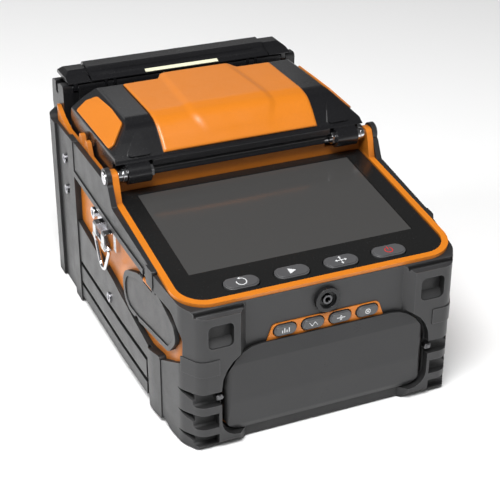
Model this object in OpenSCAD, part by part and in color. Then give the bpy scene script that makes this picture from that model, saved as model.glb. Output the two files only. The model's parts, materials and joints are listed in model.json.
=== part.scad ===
// Fibre fusion splicer: a rugged bench-top instrument with a sloped screen at the
// front, a hinged wind cover over the splicing stage and a sleeve heater at the back.
// Millimetres. X runs left to right, Y from front to back, Z up from the feet.

/* [Body] */
// Width across the side armour
body_w = 140; // [138:0.5:142]
// Depth from the front bumper to the rear bumper
body_d = 196; // [194:0.5:200]
// Thickness of the moulded walls
wall = 2.2; // [1.8:0.1:2.4]
// Play left round parts that slide or swing
play = 0.3; // [0.25:0.05:0.4]

/* [Screen] */
// Tilt of the screen towards the user, in degrees
screen_tilt = 7.6; // [6.5:0.1:8]
// Width of the display's active area
lcd_w = 108; // [100:1:110]
// Height of the display's active area
lcd_h = 64.8; // [58:0.1:65]

/* [Wind cover] */
// Height of the wind cover's hinge axis
hinge_z = 92.2; // [92:0.1:92.6]
// Height of the fibre above the feet
fibre_z = 92; // [91.8:0.1:92.2]
// Radius of the hinge pins
pin_r = 2; // [1.8:0.1:2.1]

/* [Ports] */
// Radius of the test-laser port's bore, for a 2.5 mm ferrule
ferrule_r = 1.27; // [1.26:0.01:1.3]
// Radius of the tripod thread's bore
tripod_r = 2.55; // [2.5:0.05:2.6]

/* [Hidden] */
$fn = 48;
half_w = body_w / 2;
hinge_y = 93.7;
fibre_y = 133.5;
// Orange tub: half width, front wall and back wall
tub_x = half_w - 3.5;
tub_front = 8;
tub_back = body_d - 6;
// Wind cover: half width, skin and the box it closes over
cover_x = half_w - 7;
cover_t = 2;
cover_back = 165;
cover_bottom = 87;
// Sloped ends of the wind cover: where they start, and where they meet the top
cover_shoulder = 99.4;
cover_top = 111.2;
cover_top_x = 51.4;
deck_z = 86;
// Running clearance of every pin in its bore
run = 0.05;
// Screen frame: its front lower edge is the origin of the sloped work plane
screen_y = 5;
screen_z = 70.14;
trim_x = half_w - 3.8;
trim_w = 3;
key_s = 10;
lcd_s = 22.7;
key_pitch = 23.5;
meter_pitch = 13.14;
meter_z = 51.2;
vfl_z = 61.5;
// Battery pack: half width, height of its body and of its front flange
pack_x = 48.3;
pack_z0 = 6.6;
pack_z1 = 45.2;
flange_z = 47.6;
cell_r = 8.9;
// Heater: hinge axis of its lids and half width
lid_y = 175.6;
lid_z = 104.8;
heater_x = half_w - 6;
heater_y = 173.7;
// Strap ring: height of its top bar and distance from the middle
ring_x = 72;
ring_z = 61.5;
ring_r = 1;
// Fibre carriages: inner end of the right one, and its lid's pivot
carriage_x = 16;
pivot_y = 145.5;
pivot_z = 92.6;

// ---------------------------------------------------------------- outline maths

function unit(v) = v / norm(v);
function flat(list) = [for (part = list) for (item = part) item];
function xy(p) = [p[0], p[1]];

// One corner of an outline: the point itself, or an arc of radius at[2]
function corner(before, at, after, steps) =
    at[2] == 0 ? [xy(at)] :
    let (
        u = unit(xy(before) - xy(at)),
        v = unit(xy(after) - xy(at)),
        half = acos(u * v) / 2,
        centre = xy(at) + unit(u + v) * at[2] / sin(half),
        first = xy(at) + u * at[2] / tan(half) - centre,
        last = xy(at) + v * at[2] / tan(half) - centre,
        start = atan2(first[1], first[0]),
        turn = (atan2(last[1], last[0]) - start + 540) % 360 - 180
    )
    [for (i = [0 : steps])
        centre + at[2] * [cos(start + turn * i / steps), sin(start + turn * i / steps)]];

// A closed outline from points [x, y, corner radius]
function outline(pts, steps = 6) =
    let (n = len(pts))
    flat([for (i = [0 : n - 1])
        corner(pts[(i + n - 1) % n], pts[i], pts[(i + 1) % n], steps)]);

// The right half of an outline, closed with its mirror image
function both_halves(pts) =
    concat(pts, [for (i = [len(pts) - 1 : -1 : 0]) [-pts[i][0], pts[i][1], pts[i][2]]]);

// Plan of the armour, drawn in by inset
function armour_plan(inset) = outline(both_halves([
    [half_w - 10 - inset * 0.6, inset, 6],
    [half_w - 4.2 - inset, 10, 10],
    [half_w - 0.9 - inset, 36, 60],
    [half_w - inset, 80, 0],
    [half_w - inset, body_d - 12, 8],
    [half_w - 10 - inset * 0.6, body_d - inset, 8]
]));

// Plan of the orange tub, drawn in by inset
function tub_plan(inset) = outline(both_halves([
    [half_w - 14, tub_front + inset, 5],
    [half_w - 5.8 - inset, 14 + inset, 8],
    [tub_x - inset, 72, 0],
    [tub_x - inset, body_d - 16, 8],
    [half_w - 14, tub_back - inset, 6]
]));

// Height of the glass above the feet, at y
function glass_z(y) = screen_z + (y - screen_y) * tan(screen_tilt);

// Front view of the battery pack, grown by g, up to height top
function pack_front(g, top, r) = outline(both_halves([
    [pack_x + g, pack_z0 - g * 0.5, 8],
    [pack_x + g, top, r]
]));

// -------------------------------------------------------------- building blocks

module from_front() { translate([0, -body_d / 2, 0]) children(); }
module on_side(side) { mirror([side < 0 ? 1 : 0, 0, 0]) children(); }
module both_sides() {
    children();
    mirror([1, 0, 0]) children();
}
module box(x0, x1, y0, y1, z0, z1) {
    translate([x0, y0, z0]) cube([x1 - x0, y1 - y0, z1 - z0]);
}
// Outline of (y, z) points, carried along X
module prism_x(x0, x1, pts) {
    translate([x0, 0, 0]) rotate([90, 0, 90]) linear_extrude(x1 - x0) polygon(pts);
}
// Outline of (x, z) points, carried along Y
module prism_y(y0, y1, pts) {
    translate([0, y1, 0]) rotate([90, 0, 0]) linear_extrude(y1 - y0) polygon(pts);
}
// Outline of (x, y) points, carried along Z
module prism_z(z0, z1, pts) {
    translate([0, 0, z0]) linear_extrude(z1 - z0) polygon(pts);
}
module rod_x(x0, x1, y, z, r) {
    translate([x0, y, z]) rotate([0, 90, 0]) cylinder(h = x1 - x0, r = r);
}
module rod_y(x, y0, y1, z, r) {
    translate([x, y1, z]) rotate([90, 0, 0]) cylinder(h = y1 - y0, r = r);
}
module rod_z(x, y, z0, z1, r) {
    translate([x, y, z0]) cylinder(h = z1 - z0, r = r);
}
// Work plane of the screen: x across, y up the slope, z out of the glass
module on_screen() { translate([0, screen_y, screen_z]) rotate([screen_tilt, 0, 0]) children(); }
// Rounded bar shape, w long and h high, lying flat
module stadium(w, h) {
    square([w - h, h], center = true);
    for (x = [-1, 1]) translate([x * (w - h) / 2, 0]) circle(h / 2);
}
// A stadium-shaped prism that points along Y, from y0 to y1
module stadium_y(x, z, w, h, y0, y1) {
    translate([x, y1, z]) rotate([90, 0, 0]) linear_extrude(y1 - y0) stadium(w, h);
}
module screen_outline(w, s0, s1, r) {
    polygon(outline([[-w, s0, r], [w, s0, r], [w, s1, 0], [-w, s1, 0]], 10));
}
// Space taken by the screen frame, which the armour leaves free
module screen_space(gap) {
    on_screen() translate([0, 0, -5 - gap]) linear_extrude(20)
        screen_outline(trim_x + gap, -gap, 93, 15);
}
// Screw with a round head and a hexagon socket, its head at the origin, facing +Z
module screw(head_r, head_h, shank_r, shank_h) {
    difference() {
        union() {
            cylinder(h = head_h, r = head_r);
            translate([0, 0, -shank_h]) cylinder(h = shank_h + 0.1, r = shank_r);
        }
        translate([0, 0, head_h - 0.9]) cylinder(h = 2, r = head_r * 0.5, $fn = 6);
    }
}

// -------------------------------------------------------------------- housing

door_outline = [
    [73, 38, 9], [56, 38, 20], [20, 42, 8], [11.4, 51.6, 5.5], [14.4, 58, 5.5], [30, 64.4, 12],
    [54, 63.4, 18], [73, 56, 10]
];
door_turn = 2.3;
door_hinge_z = 64;

// Plane of the port door: the tub's left side, turned with it
module on_door() {
    translate([-tub_x, 72, 0]) rotate([0, 0, door_turn]) translate([0, -72, 0]) children();
}

tub_side = [
    [4, pack_z0, 0], [4, glass_z(4) - 5.1, 0], [99.6, glass_z(99.6) - 5.1, 0],
    [99.6, 89.5, 1], [160, 89.5, 12], [170, 92, 10], [177, 95.8, 3],
    [181, 95.8, 2], [183.5, 81.5, 0], [body_d, 81.5, 0], [body_d, pack_z0, 0]
];
port_window = [[17, 43, 4], [68, 40, 4], [68, 56, 4], [52, 60, 6], [30, 61, 6], [17, 53, 4]];

module fibre_guide() {
    difference() {
        prism_x(tub_x - wall, tub_x, outline([
            [122, 85, 0], [127.4, 95.6, 0.8], [130.4, 95.6, 0.8], [fibre_y, 89.6, 0.8],
            [136.6, 95.9, 0.8], [139.4, 95.9, 0.8], [146, 85, 0]
        ], 3));
        box(0, half_w, 120, 148, 80, 89);
    }
}

module main_housing() {
    color("darkorange") from_front() difference() {
        union() {
            difference() {
                intersection() {
                    prism_z(pack_z0, 100, tub_plan(0));
                    prism_x(-half_w, half_w, outline(tub_side));
                }
                prism_z(0, 120, tub_plan(wall));
            }
            both_sides() fibre_guide();
            // Lug for the pin of the port door
            on_door() union() {
                rod_y(-1.6, 37.3, 46.7, door_hinge_z, 1.2);
                box(-1.6, 1, 37.3, 46.7, door_hinge_z - 0.8, door_hinge_z + 1.2);
            }
        }
        on_door() rod_y(-1.6, 30, 60, door_hinge_z, 0.62);
        prism_y(0, 14, pack_front(play + 0.3, pack_z1 + play, 15));
        prism_x(-half_w, -tub_x + 5, outline(port_window));
        rod_y(0, 0, 14, vfl_z, 4.4);
        rod_x(-half_w, half_w, 44.4, 66.5, 0.85);
        // Seat of the heater
        box(-heater_x - 0.25, heater_x + 0.25, 170, body_d, 81.5, 100);
        for (i = [-3 : 3]) box(i * 9 - 2.6, i * 9 + 2.6, tub_back - 6, tub_back + 2, 30, 62);
    }
}

module base_plate() {
    color("dimgray") from_front() difference() {
        union() {
            prism_z(3.5, 6.2, tub_plan(0));
            // Rim under the tub's walls
            difference() {
                prism_z(6, pack_z0, tub_plan(0));
                prism_z(5, 8, tub_plan(wall));
                box(-pack_x - 1, pack_x + 1, 0, 14, 6.25, 8);
            }
            rod_z(0, body_d / 2, 3.5, 14, 9);
            both_sides() for (y = [40, 158]) rod_z(50, y, 3.5, 6.3, 8.6);
        }
        rod_z(0, body_d / 2, 0, 12.6, 5.5);
        both_sides() for (y = [40, 158]) rod_z(50, y, 0, 5.2, 7.2);
        both_sides() for (y = [64, 134]) rod_z(56, y, 0, 20, 1.7);
        for (i = [-4 : 4]) box(i * 6 - 1.2, i * 6 + 1.2, 128, 158, 0, 20);
    }
}

module rubber_feet() {
    color("#202020") from_front() both_sides() for (y = [40, 158])
        translate([50, y, 0]) difference() {
            cylinder(h = 5.1, r = 7);
            translate([0, 0, -1]) cylinder(h = 2.6, r = 2.4);
        }
}

module base_screws() {
    color("silver") from_front() both_sides() for (y = [64, 134])
        translate([56, y, 3.4]) mirror([0, 0, 1]) screw(3.1, 1.6, 1.5, 9);
}

module tripod_insert() {
    color("goldenrod") from_front() difference() {
        rod_z(0, body_d / 2, 4, 12.5, 5.4);
        rod_z(0, body_d / 2, 3, 11, tripod_r);
    }
}

// --------------------------------------------------------------------- armour

front_side = [
    [-1, 5.5, 0], [3, 0.8, 2], [20, 1.1, 6], [27.8, 4.6, 0], [27.8, 33.6, 1], [9, 42.4, 3],
    [8.6, 55, 6], [17, 63.6, 8], [32.6, 65.4, 0], [32.6, glass_z(32.6) - 0.7, 0],
    [screen_y, glass_z(screen_y) - 0.9, 0.8], [0.9, 66.6, 0], [-1, 66.6, 0]
];

// Wedge slot that starts on the front face and runs out along the side
module wedge_slot(z0, z1, inner) {
    prism_x(inner, half_w + 2, outline([[-2, z0, 0], [4.6, z0, 1.5], [4.6, z1, 1.5], [-2, z1, 0]], 3));
    prism_x(half_w - 9, half_w + 2, [[-2, z0], [-2, z1], [13, z1 - 0.6]]);
}
module corner_pockets() {
    wedge_slot(22.8, 29.6, 48.6);
    wedge_slot(11.6, 18.8, 51.6);
    wedge_slot(2.6, 8, 51.6);
    // Square pocket with a sloping sill
    intersection() {
        prism_y(-1, 5, outline([
            [44.6, 51.6, 2.4], [56.2, 51.6, 2.4], [56.2, 62.8, 2.4], [44.6, 62.8, 2.4]]));
        prism_x(40, 60, [[-2, 51], [-2, 64], [4.4, 64], [4.4, 54.6], [1.2, 51.6], [0, 51.2]]);
    }
    // Drip slot under the trim
    box(39, 61.5, 2.4, 4.3, 66.9, 72);
}
// Raised band that wraps round a corner
module corner_band() {
    intersection() {
        difference() {
            prism_z(38.4, 46, armour_plan(0));
            prism_z(30, 50, armour_plan(0.8));
        }
        prism_x(51.2, half_w + 2, outline([
            [-2, 38.4, 0], [9.6, 38.4, 0], [9.6, 46, 0], [-2, 46, 0]]));
    }
}

module front_bumper() {
    color("#4a4a4c") from_front() union() {
        difference() {
            intersection() {
                prism_z(0.8, 76, armour_plan(0.4));
                prism_x(-half_w, half_w, outline(front_side));
            }
            prism_z(-1, 80, tub_plan(-0.02));
            prism_z(-1, 80, [[-43, -1], [-37.6, 4.6], [37.6, 4.6], [43, -1]]);
            screen_space(0.05);
            prism_y(-2, 3.95, pack_front(2, flange_z + 1, 18));
            prism_y(3.9, 14, pack_front(1.2, pack_z1 + play, 15));
            both_sides() corner_pockets();
            prism_y(0, 6.7, outline(strip_front(0.05)));
            for (i = [-1.5 : 1.5]) stadium_y(i * meter_pitch, meter_z, 11.4, 6.2, 6, 10);
            rod_y(0, 0, 12, vfl_z, 5);
        }
        both_sides() corner_band();
    }
}

rear_side = [
    [142.9, 0.8, 1], [186, 0.8, 4], [body_d + 1, 6, 0],
    [body_d + 1, 86, 0], [body_d - 5, 90, 4], [183, 90, 3], [180, 88, 4], [153, 88, 2],
    [152, 90.5, 1], [142.9, 90.5, 1]
];

module rear_bumper() {
    color("#4a4a4c") from_front() union() {
        difference() {
            intersection() {
                prism_z(0.8, 100, armour_plan(0.4));
                prism_x(-half_w, half_w, outline(rear_side));
            }
            prism_z(-1, 120, tub_plan(-0.02));
            // Step behind the corner post
            difference() {
                box(-half_w - 1, half_w + 1, 152.4, body_d - 22, -1, 100);
                prism_z(-2, 101, armour_plan(1.8));
            }
            // Back window round the vents, and the heater's seat
            prism_y(body_d - 12, body_d + 2, outline(both_halves([[41, 17, 8], [41, 78, 12]])));
            box(-heater_x - play, heater_x + play, 150, body_d + 1, 81.5, 100);
            for (zs = [[22.8, 29.6], [11.6, 18.8], [52, 58], [62, 68]])
                both_sides() translate([0, body_d, 0]) mirror([0, 1, 0])
                    wedge_slot(zs[0], zs[1], 51.6);
        }
        both_sides() translate([0, body_d, 0]) mirror([0, 1, 0]) corner_band();
    }
}

// Upper edge of the lower armour at y
function armour_top(y) = y < 89 ? 32.4 + (y - 44) * 0.207 : 41.7 + (y - 89) * 0.109;

module armour_layer(inset, pts) {
    intersection() {
        prism_z(0, 100, armour_plan(inset));
        prism_x(half_w - 10, half_w + 1, pts);
    }
}

module lower_armor(side) {
    back = 142.6;
    front = 28.1;
    step = 46;
    color("#434345") from_front() on_side(side) difference() {
        union() {
            armour_layer(2.2, outline([
                [front, 4.2, 0], [front, 34, 1], [41.6, 32.6, 2], [44, armour_top(44), 0],
                [89, armour_top(89), 0], [back, armour_top(back), 0], [back, 4.2, 0]]));
            // Post behind the front bumper
            armour_layer(0, outline([[front, 2, 1], [40.6, 2, 1], [41.6, 32.4, 2], [front, 35, 2]]));
            // Louvre bands
            for (band = [[4.2, 10.6], [13.2, 22.4]]) armour_layer(1, outline([
                [step, band[0], 0.6], [back, band[0], 0.6],
                [back, band[1], 0.6], [step, band[1], 0.6]]));
            armour_layer(1, outline([
                [step - 3, 25.2, 0.6], [back, 25.2, 0.6], [back, armour_top(back), 0],
                [89, armour_top(89), 0], [step - 3, armour_top(step - 3), 0]]));
        }
        prism_z(-1, 120, tub_plan(-0.02));
        rod_x(half_w - 1.9, half_w + 2, 95, 29, 2.6);
        rod_x(half_w - 8, half_w + 2, 95, 29, 1.35);
    }
}

module upper_rail(side) {
    front = 32.9;
    back = 142.6;
    rise = 84;
    color("#434345") from_front() on_side(side) difference() {
        union() {
            armour_layer(0.8, outline([
                [front, 66.2, 1], [46, 68.2, 6], [back, 72.2, 0], [back, 90.5, 1.2],
                [rise + 5, 90.5, 2], [rise, glass_z(rise) + 0.6, 1.5],
                [front, glass_z(front) + 0.6, 0.6]]));
            // Rib along the lower edge
            armour_layer(0.2, outline([
                [44, 68, 0], [back, 72.2, 0], [back, 75, 0.5], [44, 70.8, 0.5]], 3));
            // Boss round the end of the hinge pin
            rod_x(tub_x + 0.1, half_w - 1, hinge_y, hinge_z, 4.6);
            // Clip that hooks down over the front end
            armour_layer(0, outline([
                [front, 66, 1], [39.6, 66.4, 1.5], [40.4, glass_z(40) + 0.3, 1.2],
                [front, glass_z(front) + 0.9, 1.2]]));
        }
        prism_z(-1, 120, tub_plan(-0.02));
        screen_space(0.05);
        rod_x(half_w - 8, half_w + 2, hinge_y, hinge_z, 3.35);
    }
}

module side_hardware() {
    color("silver") from_front() both_sides() {
        translate([half_w - 1.8, 95, 29]) rotate([0, 90, 0]) screw(2.4, 1.6, 1.3, 1.6);
        translate([tub_x - 1.04, 44.4, 66.5]) rotate([0, 90, 0]) screw(1.2, 1.4, 0.8, 1.8);
        for (z = [58, 75]) translate([half_w - 1.78, 158.5, z]) rotate([0, 90, 0]) screw(2.4, 1.7, 1, 0);
    }
    // Pin of the port door
    color("silver") from_front() on_door() rod_y(-1.6, 32.4, 51.6, door_hinge_z, 0.6);
}

// --------------------------------------------------------------------- screen

module screen_frame() {
    color("darkorange") from_front() difference() {
        union() {
            on_screen() difference() {
                translate([0, 0, -5]) linear_extrude(5.8) screen_outline(trim_x, 0, 92.8, 15);
                translate([0, 0, -2.05]) linear_extrude(5)
                    screen_outline(trim_x - trim_w, trim_w, 200, 15 - trim_w);
                translate([0, 0, -8]) linear_extrude(20) screen_outline(trim_x - 6, 5.6, 200, 9);
            }
            // Wall behind the glass
            difference() {
                box(-tub_x + wall + 0.1, tub_x - wall - 0.1, 97.3, 99.5, 77, 89.2);
                both_sides() box(44.5, tub_x - wall - 0.6, 90, 101, 86.4, 95);
            }
            // Hinge ears
            both_sides() prism_x(tub_x - 3.1, tub_x - 0.1, outline([
                [85.5, 79, 0], [99.5, 79, 0], [99.5, 88, 3], [97, 95.2, 2.9],
                [90.4, 95.2, 2.9], [88.6, 90, 2]]));
        }
        rod_x(-half_w, half_w, hinge_y, hinge_z, pin_r + run);
    }
}

module screen_bezel() {
    color("#161616") from_front() on_screen() difference() {
        translate([0, 0, -2]) linear_extrude(2)
            screen_outline(trim_x - trim_w - 0.15, trim_w + 0.15, 92.6, 15 - trim_w - 0.15);
        translate([0, lcd_s + lcd_h / 2, 0]) cube([lcd_w + 0.4, lcd_h + 0.4, 9], center = true);
        for (i = [-1.5 : 1.5]) translate([i * key_pitch, key_s, -4]) linear_extrude(9) stadium(16.8, 8.8);
    }
}

module lcd_window() {
    color("#3a3c40") from_front() on_screen()
        translate([0, lcd_s + lcd_h / 2, -1.1]) cube([lcd_w, lcd_h, 1.8], center = true);
}

module lcd_panel() {
    color("slategray") from_front() on_screen() difference() {
        translate([-lcd_w / 2 - 3, lcd_s - 3, -6.4]) cube([lcd_w + 6, lcd_h + 5.5, 4.3]);
        translate([-lcd_w / 2 + 2, lcd_s + 2, -8]) cube([lcd_w - 4, lcd_h - 4, 3]);
    }
}

module main_board() {
    color("darkgreen") from_front() {
        box(-50, 58, 16, 92, 49.5, 51.1);
        box(-20, 4, 40, 62, 51, 53.4);
        box(16, 30, 36, 50, 51, 53);
        for (i = [0 : 4]) box(-46 + i * 7, -42 + i * 7, 72, 84, 51, 55);
        both_sides() for (y = [20, 88]) rod_z(47, y, 46, 49.6, 2.5);
        box(57, tub_x - wall - 1.5, 50, 60, 49.5, 51.1);
    }
}

// Screen keys sit left to right at -1.5, -0.5, 0.5 and 1.5 pitches
module screen_key(i) {
    color("#55575a") from_front() on_screen() translate([i * key_pitch, key_s, -3.6])
        union() {
            linear_extrude(4.2) stadium(16, 8);
            translate([0, 0, 4.1]) linear_extrude(0.5) stadium(14.6, 6.6);
        }
}

// --------------------------------------------------------- laser port and keys

function strip_front(g) = both_halves([[28.6 + g, 45.5 - g, 0], [25.4 + g, 54.6 + g, 2.6]]);

module key_strip() {
    color("orange") from_front() difference() {
        prism_y(4, 6.6, outline(strip_front(0)));
        for (i = [-1.5 : 1.5]) stadium_y(i * meter_pitch, meter_z, 11.4, 6.2, 3, 8);
    }
}

module meter_key(i) {
    color("#55575a") from_front() {
        stadium_y(i * meter_pitch, meter_z, 10.4, 5.2, 3.3, 7);
        stadium_y(i * meter_pitch, meter_z, 9.4, 4.2, 2.9, 3.4);
    }
}

module laser_port_ring() {
    color("#1c1c1c") from_front() difference() {
        union() {
            rod_y(0, 2.6, 4.55, vfl_z, 5.8);
            rod_y(0, 4.5, 8, vfl_z, 3.5);
        }
        rod_y(0, 2, 4.4, vfl_z, 4);
        rod_y(0, 2, 9, vfl_z, 2.3);
    }
}

module laser_port_ferrule() {
    color("silver") from_front() difference() {
        union() {
            rod_y(0, 3.2, 18, vfl_z, 2.2);
            rod_y(0, 12, 30, vfl_z, 4);
        }
        rod_y(0, 3, 15, vfl_z, ferrule_r);
    }
}

// -------------------------------------------------------------------- battery

module battery_case() {
    color("#4a4a4c") from_front() difference() {
        intersection() {
            union() {
                prism_y(1, 3.7, pack_front(0, flange_z, 17));
                prism_y(3.6, 66, pack_front(0, pack_z1, 14.6));
            }
            // Crowned front face with a bevelled upper band
            prism_x(-60, 60, outline([
                [3.6, 5, 0], [2.2, 9, 6], [1, 22, 40], [1.3, 40.5, 4], [3, 49, 0],
                [67, 49, 0], [67, 5, 0]]));
            prism_z(0, 60, outline(both_halves([[pack_x, 1, 4], [pack_x + 0.5, 66, 3]])));
        }
        prism_y(5.2, 64.6, pack_front(-1.1, pack_z1 - 1, 13.5));
    }
}

module battery_cells() {
    color("steelblue") from_front() for (x = [-30, 0, 30], z = [17.3, 35.2]) {
        rod_y(x, 6, 63, z, cell_r);
        rod_y(x, 5.4, 6.1, z, 3);
    }
}

module battery_latch(side) {
    color("silver") from_front() on_side(side) union() {
        prism_y(1.6, 4.2, outline([
            [48.9, 25.6, 0.3], [49.8, 24.7, 0.4], [52.4, 24.7, 0.6], [52.4, 27.3, 0.6],
            [49.8, 27.3, 0.4]], 3));
        box(50.3, 51.9, 1.2, 2, 25, 27);
    }
}

// ----------------------------------------------------------------- wind cover

cover_side = [
    [93.8, 89.8, 0.4], [93.8, 97.5, 1], [95.5, 98.3, 0.8], [101, 104, 10], [107.2, 109.4, 8],
    [115, 111, 20], [156, 111.2, 5], [161.5, 104.5, 8], [cover_back, 96, 4],
    [cover_back, cover_bottom, 0], [100.4, cover_bottom, 0], [100.4, 89.8, 0]
];
cover_front = both_halves([
    [cover_x, 80, 0], [cover_x, cover_shoulder, 2.5], [cover_top_x, cover_top, 4]]);

module cover_solid() {
    intersection() {
        prism_x(-cover_x, cover_x, outline(cover_side));
        prism_y(80, 180, outline(cover_front));
    }
}
module cover_hollow() {
    intersection() {
        prism_x(-cover_x + cover_t, cover_x - cover_t, outline([
            [100.4, 80, 0], [100.4, 101.2, 2], [108, 107.6, 4], [116, 109, 8], [154, 109.2, 5],
            [159.7, 103, 6], [cover_back - cover_t, 95.5, 3], [cover_back - cover_t, 80, 0]]));
        prism_y(80, 180, outline(both_halves([
            [cover_x - cover_t, 70, 0], [cover_x - cover_t, 98.6, 2], [50.6, 109.2, 3]])));
    }
}

module wind_cover_shell() {
    color("#151515") from_front() difference() {
        union() {
            cover_solid();
            both_sides() rod_x(47.5, 58.5, hinge_y, hinge_z, 4.8);
            // Raised triangles on the front slope
            both_sides() intersection() {
                prism_x(44.6, 58, [[95.5, 98.1], [95, 99.2], [106.6, 110.4], [108, 109.4]]);
                translate([0, 95.5, 98.3]) rotate([-43.5, 0, 0]) prism_y(-2, 2, outline([
                    [44.8, 0.8, 1.6], [57.6, 0.8, 1.6], [50.4, 12.4, 1.6], [48, 12.4, 1.6]]));
            }
        }
        cover_hollow();
        // Room for the pins' nuts, spacers and ears
        both_sides() box(45.4, 47.4, 80, 99.2, 80, 97.2);
        both_sides() box(58.7, cover_x + 1, 80, 99.2, 80, 97.2);
        difference() {
            both_sides() box(47.3, 58.8, 80, 96, 80, 94);
            both_sides() rod_x(47, 59, hinge_y, hinge_z, 4.8);
        }
        rod_x(-cover_x - 1, cover_x + 1, hinge_y, hinge_z, pin_r + run);
        // Way in for the fibre on each side
        both_sides() prism_x(cover_x - 4, cover_x + 1, outline([
            [130.8, 80, 0], [130.8, 93.6, 2], [136.2, 93.6, 2], [136.2, 80, 0]]));
    }
}

module wind_cover_panel() {
    lift = 1.2;
    color("orange") from_front() difference() {
        union() {
            intersection() {
                prism_x(-39.3, 39.3, outline([
                    [95.9, 98.6, 0], [95.2, 99.6, 0.4], [100.4, 105.2, 10], [106.6, 110.7, 8],
                    [115, 112.2, 20], [152.6, 112.4, 0.6], [152.6, 110, 0], [110, 100, 0]]));
                box(-40, 40, 80, 170, 98, 120);
            }
            // Raised middle
            intersection() {
                prism_x(-22, 22, outline([
                    [99, 103, 0], [99.4, 104.4, 0], [106.4, 111.5, 9], [115, 113, 20],
                    [157.2, 113.2, 0.8], [156.6, 110, 0], [110, 100, 0]]));
                prism_z(90, 120, outline(both_halves([
                    [17, 90, 0], [17, 99, 0], [20.6, 108, 3], [18.4, 160, 0]])));
            }
        }
        translate([0, 0, 0.02]) cover_solid();
    }
}

module cover_insert(side) {
    slope = atan((cover_top - cover_shoulder) / (cover_x - cover_top_x));
    color("darkorange") from_front() on_side(side) translate([cover_x, 0, cover_shoulder])
        rotate([slope, 0, 90]) linear_extrude(1.1) polygon(outline([
            [105.6, 1.2, 1], [155.6, 1.2, 1], [154.4, 8, 3], [148, 13.6, 5], [129, 14.8, 30],
            [111.6, 14, 3], [104.2, 4, 2]]));
}

module cover_lamp() {
    color("ivory") from_front() union() {
        box(-9, 9, 128, 139, 107.4, 109);
        for (y = [131, 136]) rod_z(0, y, 106.2, 107.5, 1.6);
    }
}

module hinge_pins() {
    color("silver") from_front() both_sides() union() {
        rod_x(45.9, half_w - 0.4, hinge_y, hinge_z, pin_r);
        translate([45.7, hinge_y, hinge_z]) rotate([0, 90, 0]) cylinder(h = 1.5, r = 3, $fn = 6);
        rod_x(58.8, 60.5, hinge_y, hinge_z, 3.3);
        rod_x(60.9, 62.9, hinge_y, hinge_z, 2.9);
        rod_x(tub_x + 0.3, half_w - 0.6, hinge_y, hinge_z, 3.1);
    }
}

// --------------------------------------------------------------------- stage

module stage_deck() {
    color("#2a2a2c") from_front() difference() {
        union() {
            box(-tub_x + wall + play, tub_x - wall - play, 99.7, 173.4, 83, deck_z);
            both_sides() box(tub_x - wall - 8, tub_x - wall - play, 104, 168, 78, 83.2);
        }
        box(-9, 9, 110, 157, 80, 90);
        both_sides() box(18, 42, 150.6, 158, 80, 90);
    }
}

module v_groove_block() {
    color("whitesmoke") from_front() difference() {
        union() {
            box(-12, 12, 124, 143, deck_z, 88.4);
            both_sides() box(1.4, 11.4, 127, 140, 88.2, fibre_z + 0.6);
        }
        box(-8, 8, 125.4, 141.6, 80, 89);
        prism_x(-20, 20, [[fibre_y - 1.2, 93], [fibre_y, fibre_z - 0.25], [fibre_y + 1.2, 93]]);
    }
}

module electrodes() {
    color("gainsboro") from_front() for (dir = [-1, 1])
        translate([0, fibre_y + dir * 1.1, fibre_z]) rotate([-90 * dir, 0, 0]) union() {
            cylinder(h = 3, r1 = 0.12, r2 = 1);
            translate([0, 0, 2.9]) cylinder(h = 16, r = 1);
            translate([0, 0, 17]) cylinder(h = 2.4, r = 2);
        }
}

module electrode_blocks() {
    color("#3c3c3e") from_front() for (dir = [-1, 1]) difference() {
        translate([0, fibre_y, 0]) mirror([0, dir < 0 ? 1 : 0, 0]) union() {
            box(-5.6, 5.6, 10.8, 16.8, 88.6, 96.6);
            box(-11.6, 11.6, 10.8, 18.6, deck_z, 88.8);
        }
        rod_y(0, 100, 170, fibre_z, 1.05);
        rod_z(-8.6, fibre_y + dir * 14.7, 80, 100, 1.1);
        rod_z(8.6, fibre_y + dir * 14.7, 80, 100, 1.1);
    }
}

module camera_modules() {
    color("#333336") from_front() for (dir = [-1, 1])
        translate([0, fibre_y, fibre_z]) rotate([180 + 45 * dir, 0, 0]) union() {
            translate([0, 0, 11.3]) cylinder(h = 8.3, r = 2.6);
            translate([0, 0, 14]) cylinder(h = 12, r = 4.4);
            translate([-8, -8, 25.9]) cube([16, 16, 5]);
        }
}

module feed_motors() {
    color("silver") from_front() both_sides() {
        rod_x(18, 30, 141, 75, 6);
        rod_x(29.9, 38, 141, 75, 5);
        rod_x(12, 18.1, 141, 75, 1.5);
    }
}

module carriage(side) {
    x0 = carriage_x;
    x1 = carriage_x + 30;
    color("#6b6e72") from_front() on_side(side) difference() {
        union() {
            box(x0, x1, 121, 149, deck_z + play, 90.4);
            box(x0 + 1, x1 - 1, 128, 139.6, 90.2, fibre_z);
            for (x = [x0 + 2, x1 - 4.4]) prism_x(x, x + 2.4, outline([
                [140.6, 90, 0], [148.6, 90, 0], [148.6, 93.4, 1.6], [145.6, 95.4, 1.6],
                [142.4, 93.4, 1.4]], 4));
            rod_x(x0 + 2.2, x1 - 2.2, pivot_y, pivot_z, 1);
        }
        prism_x(x0 - 1, x1 + 1, [[fibre_y - 0.9, 93], [fibre_y, fibre_z - 0.5], [fibre_y + 0.9, 93]]);
        // Finger recess in front of the lid
        rod_x(x0 + 6, x1 - 6, 121, 91, 3);
    }
}

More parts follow.
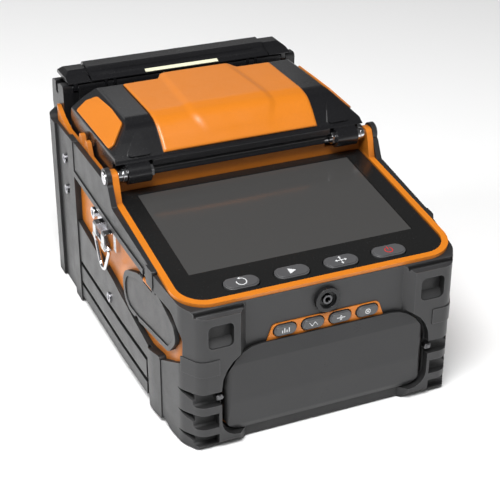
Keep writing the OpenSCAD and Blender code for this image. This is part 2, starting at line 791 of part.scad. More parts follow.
module clamp_lid(side) {
    x0 = carriage_x + 4.8;
    x1 = carriage_x + 25.2;
    color("#a8abb0") from_front() on_side(side) difference() {
        union() {
            prism_x(x0, x1, outline([
                [130.6, fibre_z + play, 0.6], [pivot_y, fibre_z + play, 0], [pivot_y, 94.6, 0],
                [134, 94.9, 1], [130.6, 94, 0.6]], 3));
            rod_x(x0, x1, pivot_y, pivot_z, 1.9);
        }
        rod_x(x0 - 1, x1 + 1, pivot_y, pivot_z, 1 + run);
    }
}

// --------------------------------------------------------------------- heater

module heater_base() {
    y1 = body_d - 1.6;
    color("#1a1a1a") from_front() difference() {
        union() {
            prism_x(-heater_x, heater_x, outline([
                [heater_y, 82, 3], [heater_y, 104.8, 0], [lid_y - 1.34, lid_z + 1.34, 0],
                [lid_y, lid_z + 1.9, 0], [179.4, lid_z + 1.9, 0], [180.6, 105, 0],
                [180.6, 96.4, 0], [189.4, 96.4, 0], [189.4, 105, 0], [y1 - 1, 105, 2],
                [y1, 92, 3], [y1 - 3, 82, 3]]));
            // Closed ends of the trough
            both_sides() box(61.6, heater_x, 179, 190, 96, 105.4);
        }
        // Notches for the hinge knuckles of the lid and the end clamps
        both_sides() for (x = [35.6, 40.2, 55.8])
            box(x, x + (x > 50 ? 3 : 2), heater_y - 1, 178.4, 102.2, 110);
        // Leaf-shaped recess below each end notch
        both_sides() prism_y(heater_y - 1, heater_y + 1.4, outline([
            [57.3, 87, 0.8], [59, 96, 8], [58.8, 103, 0], [55.8, 103, 0], [55.6, 96, 8]], 4));
        rod_x(-heater_x + 1.6, heater_x - 1.6, lid_y, lid_z, 0.85);
        // Fibre passes out through both ends
        prism_x(-heater_x - 1, heater_x + 1, outline([
            [183, 110, 0], [183, 99.6, 1], [187, 99.6, 1], [187, 110, 0]]));
    }
}

module heater_plate() {
    color("silver") from_front() difference() {
        box(-33, 33, 180.8, 189.2, 96.6, 102.6);
        prism_x(-40, 40, [[182, 103], [185, 98.2], [188, 103]]);
    }
}

module heater_hinge_rod() {
    color("silver") from_front() rod_x(-heater_x + 2, heater_x - 2, lid_y, lid_z, 0.8);
}

lid_side = [
    [heater_y, 107.1, 0], [heater_y, 107.8, 0.3], [176, 108.8, 0], [181.6, 110, 0],
    [182.6, 112, 0.8], [192, 112, 2], [194.2, 108.4, 1], [194, 107.1, 0]
];

// Knuckle that hangs from a lid into its notch
module lid_knuckle(x, w) {
    rod_x(x, x + w, lid_y, lid_z, 1.9);
    box(x, x + w, lid_y - 1.9, lid_y + 1.9, lid_z, 107.4);
}

module heater_lid() {
    color("#242426") from_front() difference() {
        union() {
            prism_x(-48.6, 48.6, outline(lid_side, 3));
            both_sides() for (x = [35.9, 40.5]) lid_knuckle(x, 1.4);
        }
        // Sunk panel along the front slope
        prism_x(-35, 44, [[176.6, 108.56], [176.2, 109.6], [181.2, 111], [181.2, 109.54]]);
        rod_x(-50, 50, lid_y, lid_z, 0.85);
    }
}

module heater_strip() {
    color("#e4e4c4") from_front()
        prism_x(-20, 20, [[173.8, 107.87], [175.9, 108.79], [175.7, 109.25], [173.6, 108.33]]);
}

module heater_clamp(side) {
    color("#1c1c1e") from_front() on_side(side) difference() {
        union() {
            intersection() {
                prism_x(49.2, 61, outline([
                    [heater_y, 107.1, 0], [heater_y, 107.7, 0.4], [180.4, 109.4, 3], [183, 111.2, 3],
                    [191, 111.2, 3], [194.2, 108, 1], [194, 107.1, 0]], 4));
                prism_y(170, 200, outline([
                    [49.2, 107, 0], [49.2, 111.4, 1], [58, 111.4, 2.5], [61, 109, 1], [61, 107, 0]]));
            }
            lid_knuckle(56.2, 2.2);
        }
        rod_x(49, 62, lid_y, lid_z, 0.85);
    }
}

// -------------------------------------------------------------- straps and port

module strap_lugs() {
    color("silver") from_front() both_sides() difference() {
        union() {
            prism_x(tub_x + 0.02, tub_x + 2, outline([
                [82.6, 58.6, 1], [104, 58.6, 1], [104, 63.4, 1], [114.6, 64.4, 3], [114.6, 69.8, 2.6],
                [82.6, 69.2, 1]], 4));
            for (y = [84.4, 96.8]) box(tub_x + 1.9, ring_x + 1.6, y, y + 4.4, 59.6, 68.4);
            for (y = [84.4, 96.8]) rod_y(ring_x, y, y + 4.4, ring_z, 2);
            rod_x(tub_x + 1, tub_x + 4.2, 110.4, 67.2, 2.9);
        }
        rod_y(ring_x, 80, 106, ring_z, ring_r + run);
        translate([tub_x + 3.4, 110.4, 67.2]) rotate([0, 90, 0]) cylinder(h = 2, r = 1.6, $fn = 6);
        prism_y(80, 106, [[ring_x + 0.6, 69], [ring_x + 3, 69], [ring_x + 3, 65]]);
    }
}

// Triangular ring: a round bar through the lug's ears, and a flat loop below it
module strap_ring(side) {
    color("gainsboro") from_front() on_side(side) union() {
        difference() {
            prism_x(ring_x - 0.9, ring_x + 0.9, outline([
                [80.2, ring_z + 0.9, 2.4], [105.4, ring_z + 0.9, 2.4], [92.8, 41.4, 5]], 5));
            prism_x(ring_x - 2, ring_x + 2, outline([
                [82.8, ring_z - 0.9, 1.2], [102.8, ring_z - 0.9, 1.2], [92.8, 44.8, 3.6]], 5));
            box(ring_x - 2, ring_x + 2, 83.3, 102.3, ring_z - 2, ring_z + 2);
        }
        rod_y(ring_x, 82.8, 102.8, ring_z, ring_r);
    }
}

module port_door() {
    color("#4c4c50") from_front() on_door() difference() {
        union() {
            difference() {
                prism_x(-2.4, -play, outline(door_outline));
                // Face sunk inside a raised rim
                prism_x(-3, -1.9, outline([
                    [70.6, 40.4, 6.6], [56, 40.4, 20], [20.8, 44.4, 6], [14, 52, 3.5], [16.4, 56.8, 3.5],
                    [31, 61, 10], [54, 60, 16], [70.6, 54, 8]]));
            }
            for (y = [33, 47]) rod_y(-1.6, y, y + 4, door_hinge_z, 1.2);
        }
        rod_y(-1.6, 30, 60, door_hinge_z, 0.65);
        // Room for the tub's lug, and a finger notch
        box(-4, 1, 37, 47, 62.3, 70);
        rod_x(-4, 1, 57, 37, 2.6);
    }
}

module port_panel() {
    color("#2c2c30") from_front() union() {
        difference() {
            box(-tub_x + wall + 2.4, -tub_x + wall + 4, 19.6, 70, 37, 62);
            rod_x(-70, -50, 26, 51, 3.1);
            for (y = [36, 50]) box(-70, -50, y, y + 9, 48, 51.4);
        }
        // Round power inlet and the shells of the two data sockets
        difference() {
            rod_x(-tub_x + wall + 1.4, -tub_x + wall + 12, 26, 51, 4.4);
            rod_x(-70, -tub_x + wall + 11, 26, 51, 3);
        }
        rod_x(-tub_x + wall + 4, -tub_x + wall + 11.5, 26, 51, 0.9);
        for (y = [36, 50]) difference() {
            box(-tub_x + wall + 2, -tub_x + wall + 9, y - 0.6, y + 9.6, 47.4, 52);
            box(-70, -tub_x + wall + 8, y, y + 9, 48, 51.4);
        }
    }
}

main_housing();
base_plate();
rubber_feet();
base_screws();
tripod_insert();
front_bumper();
rear_bumper();
lower_armor(-1);  // lower_armor_left
lower_armor(1);  // lower_armor_right
upper_rail(-1);  // upper_rail_left
upper_rail(1);  // upper_rail_right
side_hardware();
screen_frame();
screen_bezel();
lcd_window();
lcd_panel();
main_board();
screen_key(-1.5);  // screen_key_return
screen_key(-0.5);  // screen_key_start
screen_key(0.5);  // screen_key_axis
screen_key(1.5);  // screen_key_power
key_strip();
meter_key(-1.5);  // meter_key_1
meter_key(-0.5);  // meter_key_2
meter_key(0.5);  // meter_key_3
meter_key(1.5);  // meter_key_4
laser_port_ring();
laser_port_ferrule();
battery_case();
battery_cells();
battery_latch(-1);  // battery_latch_left
battery_latch(1);  // battery_latch_right
hinge_pins();
wind_cover_shell();
wind_cover_panel();
cover_insert(-1);  // cover_insert_left
cover_insert(1);  // cover_insert_right
cover_lamp();
stage_deck();
v_groove_block();
electrodes();
electrode_blocks();
camera_modules();
feed_motors();
carriage(-1);  // carriage_left
carriage(1);  // carriage_right
clamp_lid(-1);  // clamp_lid_left
clamp_lid(1);  // clamp_lid_right
heater_base();
heater_plate();
heater_hinge_rod();
heater_lid();
heater_strip();
heater_clamp(-1);  // heater_clamp_left
heater_clamp(1);  // heater_clamp_right
strap_lugs();
strap_ring(-1);  // strap_ring_left
strap_ring(1);  // strap_ring_right
port_door();
port_panel();
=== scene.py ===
import json
import math

import bmesh
import bpy
from mathutils import Matrix, Vector


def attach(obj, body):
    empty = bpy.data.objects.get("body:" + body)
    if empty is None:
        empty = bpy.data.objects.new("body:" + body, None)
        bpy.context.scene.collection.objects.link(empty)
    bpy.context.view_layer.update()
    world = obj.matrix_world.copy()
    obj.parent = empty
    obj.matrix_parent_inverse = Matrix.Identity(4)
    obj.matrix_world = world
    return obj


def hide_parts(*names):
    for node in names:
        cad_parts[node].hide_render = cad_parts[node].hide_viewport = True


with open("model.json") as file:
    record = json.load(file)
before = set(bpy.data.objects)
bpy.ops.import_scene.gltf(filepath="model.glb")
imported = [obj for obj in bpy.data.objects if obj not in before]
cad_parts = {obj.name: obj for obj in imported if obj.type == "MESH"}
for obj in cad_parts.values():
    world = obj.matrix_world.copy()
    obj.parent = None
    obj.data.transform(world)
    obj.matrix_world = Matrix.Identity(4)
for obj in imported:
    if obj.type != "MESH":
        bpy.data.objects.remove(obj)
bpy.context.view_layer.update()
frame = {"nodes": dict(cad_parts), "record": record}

MM = 0.001
DEPTH = 196.0
NODES = frame["nodes"]


def at(x, y, z):
    """A point given in millimetres, with y counted from the front, as a point of the frame."""
    return Vector((x, y - DEPTH / 2, z)) * MM


# ---------------------------------------------------------------- shader helpers

def new_material(name):
    made = bpy.data.materials.new(name)
    made.use_nodes = True
    return made, made.node_tree.nodes["Principled BSDF"]


class Graph:
    """Short ways to add nodes to one material."""

    def __init__(self, made):
        self.tree = made.node_tree
        self.coords = self.add("ShaderNodeTexCoord").outputs["Object"]

    def add(self, kind, **settings):
        node = self.tree.nodes.new(kind)
        for key, value in settings.items():
            setattr(node, key, value)
        return node

    def link(self, source, target):
        self.tree.links.new(source, target)

    def stretched(self, scale):
        node = self.add("ShaderNodeMapping")
        node.inputs["Scale"].default_value = scale
        self.link(self.coords, node.inputs["Vector"])
        return node.outputs["Vector"]

    def noise(self, scale, detail=3.0, rough=0.55, coords=None):
        node = self.add("ShaderNodeTexNoise")
        node.inputs["Scale"].default_value = scale
        node.inputs["Detail"].default_value = detail
        node.inputs["Roughness"].default_value = rough
        self.link(coords or self.coords, node.inputs["Vector"])
        return node.outputs["Fac"]

    def math(self, operation, a, b=0.5):
        node = self.add("ShaderNodeMath", operation=operation)
        for socket, value in zip(node.inputs, (a, b)):
            if isinstance(value, (int, float)):
                socket.default_value = value
            else:
                self.link(value, socket)
        return node.outputs[0]

    def span(self, value, low, high, out_low, out_high):
        node = self.add("ShaderNodeMapRange")
        for key, number in zip(("From Min", "From Max", "To Min", "To Max"),
                               (low, high, out_low, out_high)):
            node.inputs[key].default_value = number
        self.link(value, node.inputs["Value"])
        return node.outputs["Result"]

    def mix(self, share, a, b):
        node = self.add("ShaderNodeMix", data_type="RGBA")
        self.link(share, node.inputs[0])
        for socket, value in zip((node.inputs[6], node.inputs[7]), (a, b)):
            if isinstance(value, tuple):
                socket.default_value = (*value, 1.0)
            else:
                self.link(value, socket)
        return node.outputs[2]

    def edges(self, radius, low, high):
        """About 1 along the convex and concave edges, and 0 on the flats."""
        bevel = self.add("ShaderNodeBevel", samples=4)
        bevel.inputs["Radius"].default_value = radius
        normal = self.add("ShaderNodeNewGeometry").outputs["Normal"]
        dot = self.add("ShaderNodeVectorMath", operation="DOT_PRODUCT")
        self.link(bevel.outputs["Normal"], dot.inputs[0])
        self.link(normal, dot.inputs[1])
        return self.span(dot.outputs["Value"], high, low, 0.0, 1.0)

    def openness(self, reach):
        """1 out in the open, falling to 0 in the bottom of grooves and pockets."""
        hollow = self.add("ShaderNodeAmbientOcclusion", samples=6)
        hollow.inputs["Distance"].default_value = reach
        return self.span(hollow.outputs["AO"], 0.4, 0.95, 0.0, 1.0)

    def bump(self, height, strength, distance):
        node = self.add("ShaderNodeBump")
        node.inputs["Strength"].default_value = strength
        node.inputs["Distance"].default_value = distance
        self.link(height, node.inputs["Height"])
        return node.outputs["Normal"]


def shade(colour, factor):
    return tuple(min(1.0, c * factor) for c in colour)


def moulded(name, colour, rough, grain, depth, coat=0.0, coat_rough=0.2, wear_and_highlight=0.25,
            edge=1.5, mottled=0.08, specular=0.5, dirt_and_hollow_shade=0.6):
    """Moulded plastic or rubber: fine grain, faint mottling, edges lightened in patches by wear and
    painted highlight, and hollows darkened with painted shade and made duller.
    """
    made, shader = new_material(name)
    g = Graph(made)
    fine = g.noise(grain, 2.0, 0.6)
    broad = g.noise(26.0, 4.0, 0.6)
    smudge = g.noise(90.0, 5.0, 0.65)
    base = g.mix(g.span(broad, 0.3, 0.7, 0.0, 1.0),
                 shade(colour, 1 - mottled), shade(colour, 1 + mottled))
    pores = g.mix(g.span(fine, 0.35, 0.65, 0.0, 0.5), base, shade(colour, 0.82))
    # Part wear, part painted highlight: the edges are lightened by the edge factor in random patches,
    # and made a little glossier.
    edge_wear_and_highlight = g.math("MULTIPLY", g.edges(0.7 * MM, 0.80, 0.995),
                 g.span(smudge, 0.35, 0.65, 0.3 * wear_and_highlight, wear_and_highlight))
    with_wear_and_highlight = g.mix(edge_wear_and_highlight, pores, shade(colour, edge))
    # Painted shade: the colour darkens towards the bottom of grooves and pockets, by the ambient
    # occlusion mask, and the roughness rises there too.
    clear = g.openness(11 * MM)
    g.link(g.mix(clear, shade(colour, 1 - dirt_and_hollow_shade), with_wear_and_highlight), shader.inputs["Base Color"])
    sheen = g.math("ADD", g.span(smudge, 0.3, 0.7, rough - 0.05, rough + 0.06),
                   g.span(fine, 0.3, 0.7, -0.03, 0.03))
    dull = g.math("SUBTRACT", sheen, g.math("MULTIPLY", edge_wear_and_highlight, 0.15))
    g.link(g.math("ADD", dull, g.span(clear, 0.0, 1.0, 0.35 * dirt_and_hollow_shade, 0.0)), shader.inputs["Roughness"])
    g.link(g.bump(fine, 0.5, depth), shader.inputs["Normal"])
    shader.inputs["Coat Weight"].default_value = coat
    shader.inputs["Coat Roughness"].default_value = coat_rough
    shader.inputs["Specular IOR Level"].default_value = specular
    return made


def glossy(name, colour, rough, coat=0.6, coat_rough=0.06, waviness=0.02):
    """Polished plastic: near-mirror skin, a little orange peel, dust and wipe marks."""
    made, shader = new_material(name)
    g = Graph(made)
    peel = g.noise(260.0, 2.0, 0.5)
    dust = g.noise(1500.0, 2.0, 0.7)
    wipes = g.noise(14.0, 6.0, 0.6, g.stretched((1.0, 3.5, 1.0)))
    specks = g.span(dust, 0.66, 0.78, 0.0, 0.22)
    speck_colour = shade(tuple(c + 0.05 for c in colour), 1.6)
    g.link(g.mix(specks, colour, speck_colour), shader.inputs["Base Color"])
    g.link(g.math("ADD", g.span(wipes, 0.35, 0.7, rough, rough + 0.07), g.math("MULTIPLY", specks, 0.5)),
           shader.inputs["Roughness"])
    g.link(g.bump(peel, waviness, 0.2 * MM), shader.inputs["Normal"])
    shader.inputs["Coat Weight"].default_value = coat
    shader.inputs["Coat Roughness"].default_value = coat_rough
    return made


def metal(name, colour, rough, scratch=0.15, dirt_and_hollow_shade=0.25):
    """Metal with fine scratches and patches of dirt."""
    made, shader = new_material(name)
    g = Graph(made)
    lines = g.noise(1800.0, 3.0, 0.6)
    cloud = g.noise(120.0, 4.0, 0.6)
    dirt = g.math("MULTIPLY", g.span(cloud, 0.5, 0.75, 0.0, 1.0), dirt_and_hollow_shade)
    g.link(g.mix(dirt, colour, shade(colour, 0.45)), shader.inputs["Base Color"])
    brushed = g.span(lines, 0.3, 0.7, rough * 0.75, rough * 1.3)
    g.link(g.math("ADD", brushed, g.math("MULTIPLY", dirt, 0.3)), shader.inputs["Roughness"])
    g.link(g.bump(lines, scratch, 0.04 * MM), shader.inputs["Normal"])
    shader.inputs["Metallic"].default_value = 1.0
    return made


ORANGE = (0.58, 0.172, 0.010)
# In the moulded finishes, edge sets how much lighter the edges are painted, part wear and part painted
# highlight; the hollow darkening is painted shade.
MATERIALS = {
    "orange_paint": moulded("orange moulding", ORANGE, 0.36, 3200.0, 0.00002, coat=0.2, coat_rough=0.2,
                            wear_and_highlight=0.5, edge=1.25, mottled=0.03, specular=0.4, dirt_and_hollow_shade=0.45),
    "bumper_rubber": moulded("bumper rubber", (0.025, 0.025, 0.026), 0.37, 2400.0, 0.00005, wear_and_highlight=0.8,
                             edge=3.6, dirt_and_hollow_shade=0.85),
    "armour_plastic": moulded("armour plastic", (0.017, 0.017, 0.018), 0.34, 2600.0, 0.00004, wear_and_highlight=0.7,
                              edge=3.0, dirt_and_hollow_shade=0.85),
    "black_plastic": moulded("black plastic", (0.009, 0.009, 0.010), 0.27, 2800.0, 0.00003, wear_and_highlight=0.6,
                             edge=4.0, specular=0.45),
    "gloss_black": glossy("polished black", (0.007, 0.007, 0.008), 0.22, coat=0.2, coat_rough=0.12),
    "bezel_black": glossy("bezel", (0.009, 0.009, 0.009), 0.2, coat=0.1, coat_rough=0.1),
    "display_glass": glossy("display glass", (0.050, 0.049, 0.048), 0.09, coat=0.15, coat_rough=0.03,
                            waviness=0.005),
    "key_grey": moulded("key cap", (0.070, 0.070, 0.073), 0.36, 3000.0, 0.00002, wear_and_highlight=0.5, edge=1.8,
                        coat=0.2),
    "feet_rubber": moulded("foot rubber", (0.018, 0.018, 0.018), 0.7, 1800.0, 0.00006, wear_and_highlight=0.5,
                           edge=2.0),
    "chrome_steel": metal("polished steel", (0.74, 0.74, 0.76), 0.12, scratch=0.05, dirt_and_hollow_shade=0.12),
    "screw_steel": metal("screw steel", (0.50, 0.50, 0.53), 0.28, scratch=0.12),
    "insert_brass": metal("brass", (0.78, 0.57, 0.26), 0.3),
    "silver_alloy": metal("silver alloy", (0.63, 0.64, 0.66), 0.38, scratch=0.25, dirt_and_hollow_shade=0.15),
    "grey_alloy": metal("grey anodised alloy", (0.24, 0.25, 0.27), 0.42, scratch=0.25),
    "block_ceramic": moulded("ceramic", (0.80, 0.80, 0.77), 0.3, 1500.0, 0.00001, wear_and_highlight=0.1, edge=1.1,
                             mottled=0.02),
    "cream_strip": moulded("cream strip", (0.72, 0.71, 0.52), 0.5, 1800.0, 0.00002, wear_and_highlight=0.2, edge=1.1,
                           mottled=0.03),
    "lamp_white": moulded("lamp cover", (0.85, 0.85, 0.80), 0.3, 2200.0, 0.00001, wear_and_highlight=0.1, edge=1.05,
                          mottled=0.02),
    "cell_wrap": glossy("cell wrap", (0.03, 0.11, 0.26), 0.3, coat=0.3),
    "board_green": moulded("circuit board", (0.012, 0.10, 0.035), 0.35, 900.0, 0.00003, coat=0.5),
    "panel_plastic": moulded("socket panel", (0.028, 0.028, 0.031), 0.45, 2600.0, 0.00003),
}
DARK_STEEL = metal("blackened steel", (0.13, 0.13, 0.135), 0.3, scratch=0.2)
ICON_WHITE = moulded("icon print", (0.62, 0.63, 0.64), 0.5, 2500.0, 0.00001, wear_and_highlight=0.1, edge=1.1)
ICON_RED = moulded("red icon print", (0.55, 0.02, 0.02), 0.45, 2500.0, 0.00001, wear_and_highlight=0.1, edge=1.1)


# --------------------------------------------------------- finish of CAD nodes

EDGE_MM = {
    "front_bumper": 0.55, "rear_bumper": 0.6, "lower_armor_left": 0.4, "lower_armor_right": 0.4,
    "upper_rail_left": 0.35, "upper_rail_right": 0.35, "main_housing": 0.35, "screen_frame": 0.45,
    "wind_cover_shell": 0.45, "wind_cover_panel": 0.3, "battery_case": 0.5, "heater_base": 0.4,
    "heater_lid": 0.3, "heater_clamp_left": 0.3, "heater_clamp_right": 0.3, "port_door": 0.3,
    "cover_insert_left": 0.25, "cover_insert_right": 0.25, "base_plate": 0.3, "rubber_feet": 0.5,
}


def soften(node, width):
    """Rounds a node's edges by modifiers, so that they catch the light as moulded edges do."""
    mesh = node.data
    mesh.polygons.foreach_set("use_smooth", [True] * len(mesh.polygons))
    weld = node.modifiers.new("weld", "WELD")
    weld.merge_threshold = 2e-6
    flat = node.modifiers.new("flat", "DECIMATE")
    flat.decimate_type = "DISSOLVE"
    flat.angle_limit = math.radians(1.0)
    bevel = node.modifiers.new("bevel", "BEVEL")
    bevel.width = width * MM
    bevel.segments = 2
    bevel.limit_method = "ANGLE"
    bevel.angle_limit = math.radians(27)
    bevel.use_clamp_overlap = True
    bevel.miter_outer = "MITER_ARC"
    normals = node.modifiers.new("normals", "WEIGHTED_NORMAL")
    normals.mode = "FACE_AREA"
    normals.weight = 60


slots = {row["node"]: row["material_slot"] for row in frame["record"]["subparts"]}
blackened = ("laser_port_ferrule", "battery_latch_left", "battery_latch_right")
for name, node in NODES.items():
    node.data.materials.clear()
    node.data.materials.append(DARK_STEEL if name in blackened else MATERIALS[slots[name]])
    soften(node, EDGE_MM.get(name, 0.15))


# ------------------------------------------------------------------ built pieces

def keep(name, mesh, slot_name, body, surface=None):
    """Puts a mesh in the scene as a piece, in its slot's material unless surface gives another."""
    piece = bpy.data.objects.new(name, mesh)
    bpy.context.scene.collection.objects.link(piece)
    mesh.materials.clear()
    mesh.materials.append(surface or MATERIALS[slot_name])
    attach(piece, body)
    return piece


def arc(radius, start, stop, steps):
    """Points along an arc round the origin, with its ends in degrees."""
    return [(radius * math.cos(math.radians(start + (stop - start) * i / steps)),
             radius * math.sin(math.radians(start + (stop - start) * i / steps)))
            for i in range(steps + 1)]


def ring_part(outer, inner, start, stop):
    """The outline of a part of a flat ring."""
    steps = 20
    return arc(outer, start, stop, steps) + arc(inner, stop, start, steps)


def bar(x0, y0, x1, y1):
    """The outline of an upright rectangle."""
    return [(x0, y0), (x1, y0), (x1, y1), (x0, y1)]


def plate(bm, outline, place, height):
    """A flat shape in millimetres, raised by height and set in place."""
    low = [bm.verts.new(place @ Vector((x * MM, y * MM, 0))) for x, y in outline]
    high = [bm.verts.new(place @ Vector((x * MM, y * MM, height * MM))) for x, y in outline]
    bm.faces.new(high)
    bm.faces.new(low[::-1])
    for i, (a, b) in enumerate(zip(low, low[1:] + low[:1])):
        bm.faces.new((a, b, high[(i + 1) % len(high)], high[i]))


ICON_HEIGHT = 0.08


def icon(name, shapes, place, body, surface):
    """A raised print of flat shapes on a key."""
    bm = bmesh.new()
    for outline in shapes:
        plate(bm, outline, place, ICON_HEIGHT)
    bm.normal_update()
    bmesh.ops.triangulate(bm, faces=bm.faces[:])
    bmesh.ops.recalc_face_normals(bm, faces=bm.faces[:])
    mesh = bpy.data.meshes.new(name)
    bm.to_mesh(mesh)
    bm.free()
    keep(name, mesh, "key_grey", body, surface)


TILT = math.radians(7.6)
SCREEN = Matrix.Translation(at(0, 5, 70.14)) @ Matrix.Rotation(TILT, 4, "X")
KEY_PITCH = 23.5
KEY_UP = 10
KEY_TOP = 0.98
METER_PITCH = 13.14
METER_FACE_Y = 2.92
METER_Z = 51.2


def on_key(i):
    """The plane of a screen key's top."""
    return SCREEN @ Matrix.Translation(Vector((i * KEY_PITCH, KEY_UP, KEY_TOP)) * MM)


def on_meter_key(i):
    """The plane of a front key's face."""
    face = at(i * METER_PITCH, METER_FACE_Y, METER_Z)
    return Matrix.Translation(face) @ Matrix.Rotation(math.pi / 2, 4, "X")


cross = [bar(-1.9, -0.22, 1.9, 0.22), bar(-0.22, -1.9, 0.22, 1.9)]
tips = [[(2.9, 0), (1.8, 0.8), (1.8, -0.8)], [(-2.9, 0), (-1.8, -0.8), (-1.8, 0.8)],
        [(0, 2.7), (-0.8, 1.7), (0.8, 1.7)], [(0, -2.7), (0.8, -1.7), (-0.8, -1.7)]]
icon("icon_return", [ring_part(2.5, 2.05, 165, 450), [(-1.1, 2.3), (0.1, 1.6), (0.1, 3.0)]],
     on_key(-1.5), "key_return", ICON_WHITE)
icon("icon_start", [[(-1.5, -1.9), (2.0, 0), (-1.5, 1.9)]], on_key(-0.5), "key_start", ICON_WHITE)
icon("icon_axis", cross + tips, on_key(0.5), "key_axis", ICON_WHITE)
icon("icon_power", [ring_part(2.0, 1.55, 125, 415), bar(-0.24, 0.2, 0.24, 2.5)],
     on_key(1.5), "key_power", ICON_RED)
wave = [(x / 10, 0.75 * math.sin(x / 10 * 2.3)) for x in range(-20, 21)]
band = [(x, y + 0.2) for x, y in wave] + [(x, y - 0.2) for x, y in reversed(wave)]
icon("icon_meter_1", [bar(-1.8, -1.1, -1.4, 0.2), bar(-0.75, -1.1, -0.35, 1.1), bar(0.3, -1.1, 0.7, 0.2),
                      bar(1.35, -1.1, 1.75, 1.1)], on_meter_key(-1.5), "meter_1", ICON_WHITE)
icon("icon_meter_2", [band], on_meter_key(-0.5), "meter_2", ICON_WHITE)
icon("icon_meter_3", [bar(-2.0, -0.2, 2.0, 0.2), [(0, 1.3), (-0.7, 0.5), (0.7, 0.5)],
                      [(0, -1.3), (0.7, -0.5), (-0.7, -0.5)]], on_meter_key(0.5), "meter_3", ICON_WHITE)
icon("icon_meter_4", [ring_part(1.3, 0.95, 0, 359), arc(0.45, 0, 340, 12)],
     on_meter_key(1.5), "meter_4", ICON_WHITE)


def wire(name, points, radius, body, slot_name, *stands_for):
    """A bent wire through points, closed on itself."""
    curve = bpy.data.curves.new(name, "CURVE")
    curve.dimensions = "3D"
    curve.bevel_depth = radius * MM
    curve.bevel_resolution = 4
    spline = curve.splines.new("POLY")
    spline.points.add(len(points) - 1)
    for target, point in zip(spline.points, points):
        target.co = (*point, 1.0)
    spline.use_cyclic_u = True
    shown = bpy.data.objects.new(name + "_curve", curve)
    bpy.context.scene.collection.objects.link(shown)
    bpy.context.view_layer.update()
    evaluated = shown.evaluated_get(bpy.context.evaluated_depsgraph_get())
    mesh = bpy.data.meshes.new_from_object(evaluated)
    bpy.data.objects.remove(shown)
    mesh.polygons.foreach_set("use_smooth", [True] * len(mesh.polygons))
    piece = keep(name, mesh, slot_name, body)
    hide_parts(*stands_for)


def rounded(corners, steps=6):
    """A closed run of points through corners (x, y, radius), with each corner an arc."""
    out = []
    for i, (x, y, r) in enumerate(corners):
        here = Vector((x, y))
        u = (Vector(corners[i - 1][:2]) - here).normalized()
        v = (Vector(corners[(i + 1) % len(corners)][:2]) - here).normalized()
        half = u.angle(v) / 2
        centre = here + (u + v).normalized() * r / math.sin(half)
        first, last = here + u * r / math.tan(half) - centre, here + v * r / math.tan(half) - centre
        start = math.atan2(first.y, first.x)
        turn = (math.atan2(last.y, last.x) - start + 3 * math.pi) % (2 * math.pi) - math.pi
        angles = [start + turn * k / steps for k in range(steps + 1)]
        out += [centre + r * Vector((math.cos(a), math.sin(a))) for a in angles]
    return out


RING_X = 72
RING_WIRE = 0.95
# y, z and bend radius of each corner: front, back and foot.
RING_CORNERS = [(81.2, 61.5, 1.6), (104.4, 61.5, 1.6), (92.8, 43.1, 4.4)]
for side, sign in (("left", -1), ("right", 1)):
    loop = rounded(RING_CORNERS)
    wire(f"strap_ring_{side}_wire", [at(sign * RING_X, p.x, p.y) for p in loop], RING_WIRE,
         f"ring_{side}", "chrome_steel", f"strap_ring_{side}")


# ------------------------------------------------------ orange panel of the cover

def smooth(value, low, high):
    """0 below low, 1 above high, with a soft rise between them."""
    t = min(1.0, max(0.0, (value - low) / (high - low)))
    return t * t * (3 - 2 * t)


def resampled(points, count):
    """Evenly spaced points along an open run of points."""
    lengths = [0.0]
    for a, b in zip(points, points[1:]):
        lengths.append(lengths[-1] + (b - a).length)
    out, k = [], 0
    for i in range(count):
        want = lengths[-1] * i / (count - 1)
        while k < len(points) - 2 and lengths[k + 1] < want:
            k += 1
        share = (want - lengths[k]) / max(1e-9, lengths[k + 1] - lengths[k])
        out.append(points[k].lerp(points[k + 1], min(1.0, share)))
    return out


def panel_grid(bm, columns, rows):
    """The columns of points of the sheet's upper and lower skin."""
    front, back = 95.3, 152.4
    corners = [(front, 99.3, 0.02), (100.4, 105.2, 20), (106.6, 110.7, 14), (115, 112.2, 20),
               (back, 112.4, 0.02)]
    closing = (120, 90, 1)
    steps = 8
    run = rounded(corners + [closing], steps)[:len(corners) * (steps + 1)]
    half, lip, thick = 39.3, 0.45, 1.1
    ridge, crown_height, tab_reach = 0.85, 0.25, 4.6
    line = resampled(run, rows)
    tops, unders = [], []
    for j in range(columns + 1):
        x = half * (2 * j / columns - 1)
        tab = 1 - smooth(abs(x), 18.2, 21.5)
        top_row, under_row = [], []
        for i, point in enumerate(line):
            before, after = line[max(0, i - 1)], line[min(rows - 1, i + 1)]
            tangent = (after - before).normalized()
            normal = Vector((-tangent.y, tangent.x))
            stretch = tab_reach * tab * smooth(point.x, 118, back)
            y = point.x + stretch
            # Half width of the raised middle: it widens up the slope and narrows towards the back.
            edge = 17 + 3.6 * smooth(y, 99, 108) - 2.2 * smooth(y, 108, 160)
            raised = ridge * (1 - smooth(abs(x), edge - 2.4, edge + 2.0)) * smooth(y, 97.5, 108)
            crown = crown_height * (1 - (x / half) ** 2)
            rim = max(0.0, abs(x) - half + lip, lip - (point.x - front), lip - (back - point.x))
            drop = lip - math.sqrt(max(0.0, lip ** 2 - min(rim, lip) ** 2))
            place = Vector((y, point.y)) + normal * (raised + crown - drop)
            top_row.append(bm.verts.new(at(x, place.x, place.y)))
            place = Vector((y, point.y)) - normal * thick
            under_row.append(bm.verts.new(at(x, place.x, place.y)))
        tops.append(top_row)
        unders.append(under_row)
    return tops, unders


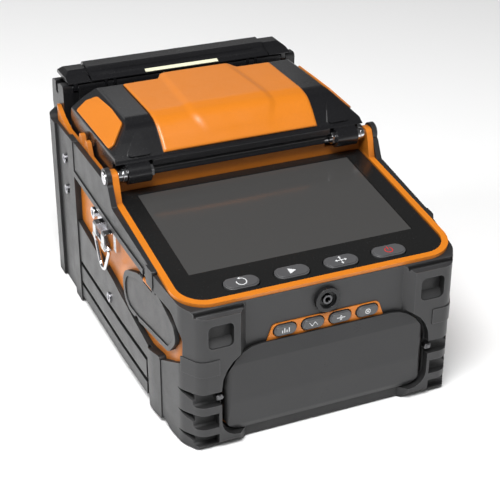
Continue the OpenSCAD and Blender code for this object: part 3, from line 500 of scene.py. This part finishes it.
def panel_piece():
    """One moulded sheet with a softly raised middle that runs out at the back as a tab."""
    columns, rows = 96, 84
    bm = bmesh.new()
    tops, unders = panel_grid(bm, columns, rows)
    for j in range(columns):
        for i in range(rows - 1):
            bm.faces.new((tops[j][i], tops[j][i + 1], tops[j + 1][i + 1], tops[j + 1][i]))
            bm.faces.new((unders[j][i], unders[j + 1][i], unders[j + 1][i + 1], unders[j][i + 1]))
        for i in (0, rows - 1):
            bm.faces.new((tops[j][i], tops[j + 1][i], unders[j + 1][i], unders[j][i]))
    for j in (0, columns):
        for i in range(rows - 1):
            bm.faces.new((tops[j][i], tops[j][i + 1], unders[j][i + 1], unders[j][i]))
    bmesh.ops.recalc_face_normals(bm, faces=bm.faces[:])
    mesh = bpy.data.meshes.new("cover_panel_skin")
    bm.to_mesh(mesh)
    bm.free()
    mesh.polygons.foreach_set("use_smooth", [True] * len(mesh.polygons))
    piece = keep("cover_panel_skin", mesh, "orange_paint", "wind_cover")
    normals = piece.modifiers.new("normals", "WEIGHTED_NORMAL")
    normals.weight = 60
    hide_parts("wind_cover_panel")


panel_piece()


# ----------------------------------------------------------- floor, light, camera

FLOOR = 6
floor_mesh = bpy.data.meshes.new("floor")
floor_corners = [(x * FLOOR, y * FLOOR, 0) for x, y in ((-1, -1), (1, -1), (1, 1), (-1, 1))]
floor_mesh.from_pydata(floor_corners, [], [(0, 1, 2, 3)])
floor = bpy.data.objects.new("floor", floor_mesh)
bpy.context.scene.collection.objects.link(floor)
paper, paper_shader = new_material("floor")
paper_shader.inputs["Base Color"].default_value = (0.86, 0.86, 0.86, 1)
paper_shader.inputs["Roughness"].default_value = 0.9
paper_shader.inputs["Specular IOR Level"].default_value = 0.1
floor_mesh.materials.append(paper)


def softbox(name, place, target, size, power):
    """A rectangular lamp that faces its target."""
    light = bpy.data.lights.new(name, "AREA")
    light.shape = "RECTANGLE"
    light.size, light.size_y = size
    light.energy = power
    lamp = bpy.data.objects.new(name, light)
    lamp.location = place
    lamp.rotation_euler = (Vector(target) - Vector(place)).to_track_quat("-Z", "Y").to_euler()
    bpy.context.scene.collection.objects.link(lamp)


softbox("key", (-0.42, -0.58, 1.30), (0, 0, 0.05), (0.9, 0.55), 31)
softbox("side", (-1.25, 0.15, 0.75), (0, 0, 0.05), (0.5, 0.7), 8)
softbox("back", (0.1, 1.35, 0.85), (0, 0, 0.08), (1.2, 0.35), 0.8)
softbox("fill", (1.1, -0.7, 0.5), (0, 0, 0.05), (0.6, 0.6), 2)

world = bpy.data.worlds.new("studio")
world.use_nodes = True
sky = world.node_tree.nodes["Background"]
direction = world.node_tree.nodes.new("ShaderNodeTexCoord")
height = world.node_tree.nodes.new("ShaderNodeSeparateXYZ")
fade = world.node_tree.nodes.new("ShaderNodeMapRange")
fade.interpolation_type = "SMOOTHSTEP"
for key, number in (("From Min", 0.0), ("From Max", 0.5), ("To Min", 0.34), ("To Max", 0.07)):
    fade.inputs[key].default_value = number
world.node_tree.links.new(direction.outputs["Generated"], height.inputs[0])
world.node_tree.links.new(height.outputs["Z"], fade.inputs["Value"])
world.node_tree.links.new(fade.outputs["Result"], sky.inputs["Strength"])
sky.inputs["Color"].default_value = (1, 1, 1, 1)
bpy.context.scene.world = world
bpy.context.scene.view_settings.view_transform = "Standard"

LENS = 93.53
CAMERA_PLACE = (-0.22242, -0.51824, 0.3455)
YAW, PITCH, ROLL = (math.radians(a) for a in (23.71, 28.1, 0.23))
camera_data = bpy.data.cameras.new("camera")
camera_data.sensor_width = 36
camera_data.lens = LENS
camera = bpy.data.objects.new("camera", camera_data)
bpy.context.scene.collection.objects.link(camera)
ahead = Vector((math.sin(YAW) * math.cos(PITCH), math.cos(YAW) * math.cos(PITCH), -math.sin(PITCH)))
level = ahead.to_track_quat("-Z", "Y").to_matrix()
camera.location = CAMERA_PLACE
camera.rotation_euler = (level @ Matrix.Rotation(ROLL, 3, "Z")).to_euler()
bpy.context.scene.camera = camera
